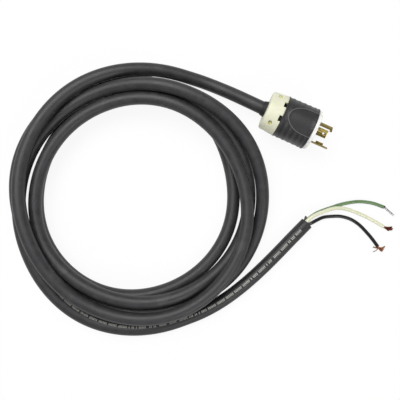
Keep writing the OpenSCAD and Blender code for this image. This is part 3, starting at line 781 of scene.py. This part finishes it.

# %% [markdown]
# ## Moulded plastics
# The shell, the face and the clamp are glass-filled or plain nylon, injection moulded. The tool
# is spark-eroded, which gives a fine matt grain, and the melt leaves soft patches of slightly
# different gloss. The white parts yellow with age. A painted highlight runs grey along the crest of
# the raised bead round the arched thumb panel.

# %% Plastics and rubber
def moulded_nylon(name, base, deep, rough, grain_depth=0.02 * mm):
    made, tree, shader = material(name, roughness=rough, ior=1.53)
    place = add(tree, "TexCoord").outputs["Object"]
    flow = grain(tree, place, 14 * mm, 4)
    tree.links.new(two_tones(tree, flow, base, deep), shader.inputs["Base Color"])
    tree.links.new(spread(tree, flow, rough - 0.05, rough + 0.07), shader.inputs["Roughness"])
    raise_by(tree, shader, grain(tree, place, 0.45 * mm, 2), grain_depth)
    return made


# The arched panel is straight for a while behind the front rim, then closes in half an ellipse
ARCH_X = 5.2 * mm       # where the straight part ends
ARCH_BACK = 25.2 * mm   # from there to the back of the arch
ARCH_HALF = 16.4 * mm   # half its width
ARCH_BEAD = 1.5 * mm
# The painted highlight on the bead's crest: its half-width as a share of the bead, and how much it
# covers
HIGHLIGHT_SHARE = 0.3            # share of the bead to each side of its middle
HIGHLIGHT_COVER = 0.6


def bead_crest(tree):
    """1 on the crest of the raised bead round the arched panel, else 0."""
    place = add(tree, "SeparateXYZ", {"Vector": add(tree, "TexCoord").outputs["Object"]})
    back = scaled(tree, calc(tree, "SUBTRACT", ARCH_X, place.outputs["X"]), 1 / ARCH_BACK)
    flat = add(tree, "CombineXYZ", {
        "X": calc(tree, "MAXIMUM", back, 0.0), "Y": scaled(tree, place.outputs["Y"], 1 / ARCH_HALF)})
    out = add(tree, "VectorMath", {0: flat.outputs[0]}, operation="LENGTH").outputs["Value"]
    return inside(tree, out, 1 - ARCH_BEAD / 2 / ARCH_HALF, HIGHLIGHT_SHARE * ARCH_BEAD / ARCH_HALF)


shell_nylon = moulded_nylon("black_nylon_shell", "#2e2e30", "#262628", 0.42)
tree = shell_nylon.node_tree
# Painted highlight: a lighter grey along the crest of the bead
lay_over(shell_nylon, scaled(tree, bead_crest(tree), HIGHLIGHT_COVER), "#707072")
face_nylon = moulded_nylon("white_nylon_face", "#fafaf6", "#f4f4ef", 0.4)
clamp_nylon = moulded_nylon("cream_nylon_clamp", "#e9e9d0", "#dfdfc4", 0.42)
block_nylon = moulded_nylon("white_nylon_block", "#e4e3dc", "#d8d6cc", 0.5)
sleeve_rubber = moulded_nylon("black_sleeve_rubber", "#202021", "#181819", 0.62, 0.05 * mm)

# %% [markdown]
# ## Metals
# Blades are blanked from brass strip and left as they come: a dull olive yellow, drawn lines
# along the strip and darker tarnish in patches. The screws are steel with a thin zinc plate, and
# the earth screw is dyed green so that nobody mistakes it.

# %% Metals
DRAWN = (1, 12, 12)     # noise is squeezed by this, so it runs out into lines along the strip
PLATED = (6, 6, 6)


def drawn_metal(name, base, dark, rough, stretch=DRAWN):
    made, tree, shader = material(name, metallic=1.0, roughness=rough)
    place = add(tree, "TexCoord").outputs["Object"]
    along = add(tree, "Mapping", {"Vector": place, "Scale": stretch}).outputs[0]
    lines = grain(tree, along, 3 * mm, 3)
    patches = grain(tree, place, 5 * mm, 4)
    tree.links.new(two_tones(tree, patches, base, dark), shader.inputs["Base Color"])
    tree.links.new(spread(tree, lines, rough - 0.1, rough + 0.12), shader.inputs["Roughness"])
    raise_by(tree, shader, lines, 0.015 * mm)
    return made


blade_brass = drawn_metal("blanked_brass_blade", "#a99859", "#796a38", 0.38)
terminal_brass = drawn_metal("blanked_brass_terminal", "#c2ae6c", "#94824a", 0.33)
zinc_steel = drawn_metal("zinc_plated_steel", "#c4c4c0", "#8f8f8a", 0.32, PLATED)
yellow_steel = drawn_metal("yellow_passivated_steel", "#dcd9ac", "#a9a670", 0.42, PLATED)
green_steel = drawn_metal("green_dyed_steel", "#3d8a52", "#28663a", 0.38, PLATED)

# %% [markdown]
# ## Cores inside the plug
# Nobody sees these until the plug is opened: three short cores from the jacket's end, through the
# throat of the shell, to their terminals. They spread in the same curve, each turned to its own
# terminal's angle about the plug's axis.

# %% Inner cores
# Each: place along the plug's axis, distance out from it
INNER_RUN = [(-31, 3.2), (-26, 3.9), (-20, 7), (-13.3, 11.2), (-7.3, 11.139), (-4.1, 11.139)]
INNER_STEP = 1.2 * mm
WIRE_TURN = 17.77       # degrees from a terminal's middle to its wire


def inner_core(name, angle, skin, node):
    """angle is its terminal's, in degrees about the plug's axis."""
    turn = radians(angle + WIRE_TURN)
    places = [Vector((x, out * sin(turn), AXIS_Z / mm + out * cos(turn))) * mm for x, out in INNER_RUN]
    route = Route(even_steps(smooth_line(places, 8), INNER_STEP), Vector((1, 0, 0)))
    stations = even_stations(0, route.length, INNER_STEP, CORE_R)
    bm = bmesh.new()
    add_tube(bm, route, [(0, 0)] + stations + [(route.length, 0)], 20)
    core = finished(bm, name, skin)
    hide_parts(node)
    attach(core, "plug")


inner_core("inner_green_insulation", -104, green_skin, "inner_green_core")
inner_core("inner_black_insulation", 38, black_skin, "inner_black_core")
inner_core("inner_white_insulation", 158, white_skin, "inner_white_core")

# %% [markdown]
# ## Finishes for the exact solids
# The rest of the plug needs no new shapes: its solids come from the CAD model as they are, and each
# gets its finish here. Pieces of one material share it, as they come out of one bag of granules or
# off one reel.

# %% Dress the plug
finishes = {
    "housing_shell": shell_nylon, "front_face": face_nylon, "terminal_block": block_nylon,
    "cord_clamp_lower": clamp_nylon, "cord_clamp_upper": clamp_nylon,
    "ground_blade": blade_brass, "hot_blade": blade_brass, "neutral_blade": blade_brass,
    "ground_plate": terminal_brass, "hot_plate": terminal_brass, "neutral_plate": terminal_brass,
    "terminal_screws": zinc_steel, "ground_screw": green_steel, "assembly_screws": zinc_steel,
    "clamp_screws": yellow_steel, "clamp_nuts": zinc_steel, "cord_sleeve": sleeve_rubber,
    "cable_root": jacket_plain, "terminal_wire_ends": copper,
}
for name, finish in finishes.items():
    mesh = nodes[name].data
    mesh.materials.clear()
    mesh.materials.append(finish)
print("finished nodes:", len(finishes))

# %% [markdown]
# ## Broken edges
# No real edge is a knife edge: a mould has small radii, and a blanked blade is tumbled. A narrow
# bevel on the sharp edges catches the light as a thin line. The solids themselves stay as they are.

# %% Broken edges
WELD = 0.002 * mm
SHARP = radians(35)
# Widths in millimetres
EDGES = {
    "housing_shell": 0.3, "front_face": 0.25, "cord_clamp_lower": 0.35, "cord_clamp_upper": 0.35,
    "ground_blade": 0.2, "hot_blade": 0.2, "neutral_blade": 0.2, "clamp_screws": 0.15,
}
for name, width in EDGES.items():
    piece = nodes[name]
    weld = piece.modifiers.new("weld", "WELD")
    weld.merge_threshold = WELD
    bevel = piece.modifiers.new("broken edges", "BEVEL")
    bevel.width = width * mm
    bevel.segments = 2
    bevel.limit_method = "ANGLE"
    bevel.angle_limit = SHARP
    bevel.harden_normals = True
print("pieces with broken edges:", len(EDGES))

# %% [markdown]
# ## The table
# A plain white table runs out of the picture on all sides. To the camera it is mostly white of its
# own, but it keeps part of the shadows that fall on it.

# %% Table
TABLE_SIZE = 6          # metres
TABLE_GLOW = 0.9        # share of its brightness that is its own, to the camera


def seen_by(tree, *kinds):
    """1 for rays of any of these kinds, else 0."""
    rays = add(tree, "LightPath").outputs
    seen = rays["Is " + kinds[0] + " Ray"]
    for kind in kinds[1:]:
        seen = calc(tree, "MAXIMUM", seen, rays["Is " + kind + " Ray"])
    return seen


def white_table():
    made, tree, shader = material("white_table", roughness=0.9)
    shader.inputs["Base Color"].default_value = colour("#fafafa")
    glow = add(tree, "Emission", {"Color": (1, 1, 1, 1), "Strength": 1.0})
    share = scaled(tree, seen_by(tree, "Camera", "Glossy", "Transmission"), TABLE_GLOW)
    mix = add(tree, "MixShader", {0: share, 1: shader.outputs[0], 2: glow.outputs[0]})
    tree.links.new(mix.outputs[0], tree.nodes["Material Output"].inputs["Surface"])
    return made


bm = bmesh.new()
bmesh.ops.create_grid(bm, x_segments=1, y_segments=1, size=TABLE_SIZE)
table = finished(bm, "table", white_table())

# %% [markdown]
# ## The light
# A bright room fills the shadows. One large softbox hangs overhead and a small one fills from the
# other side, so black rubber shows its shape by soft highlights.

# %% Room and softboxes
ROOM_LEVEL = 0.36
world = bpy.data.worlds.new("room")
bpy.context.scene.world = world
world.use_nodes = True
room = world.node_tree
sky = room.nodes["Background"]
sky.inputs["Color"].default_value = (1, 1, 1, 1)
level = remap(room, seen_by(room, "Camera", "Transmission"), 0, 1, ROOM_LEVEL, 1.0)
room.links.new(level, sky.inputs["Strength"])

middle_of_view = Vector((*VIEW_MIDDLE, 0))
picture_right = Vector((cos(radians(CAMERA_TURN)), sin(radians(CAMERA_TURN)), 0))
picture_up = Vector((-picture_right.y, picture_right.x, 0))


def softbox(name, right, above, height, size, power):
    """A light aimed at the middle of the view, placed by the picture's directions, in metres."""
    offset = picture_right * right + picture_up * above + Vector((0, 0, height))
    light = bpy.data.lights.new(name, "AREA")
    light.shape = "RECTANGLE"
    light.size, light.size_y = size
    light.energy = power
    lamp = bpy.data.objects.new(name, light)
    lamp.location = middle_of_view + offset
    lamp.rotation_euler = (-offset).to_track_quat("-Z", "Y").to_euler()
    bpy.context.scene.collection.objects.link(lamp)


softbox("key", -0.35, 0.55, 1.25, (1.2, 0.9), 15)
softbox("fill", 0.5, -0.9, 0.9, (0.8, 0.5), 5)
print("lights placed")
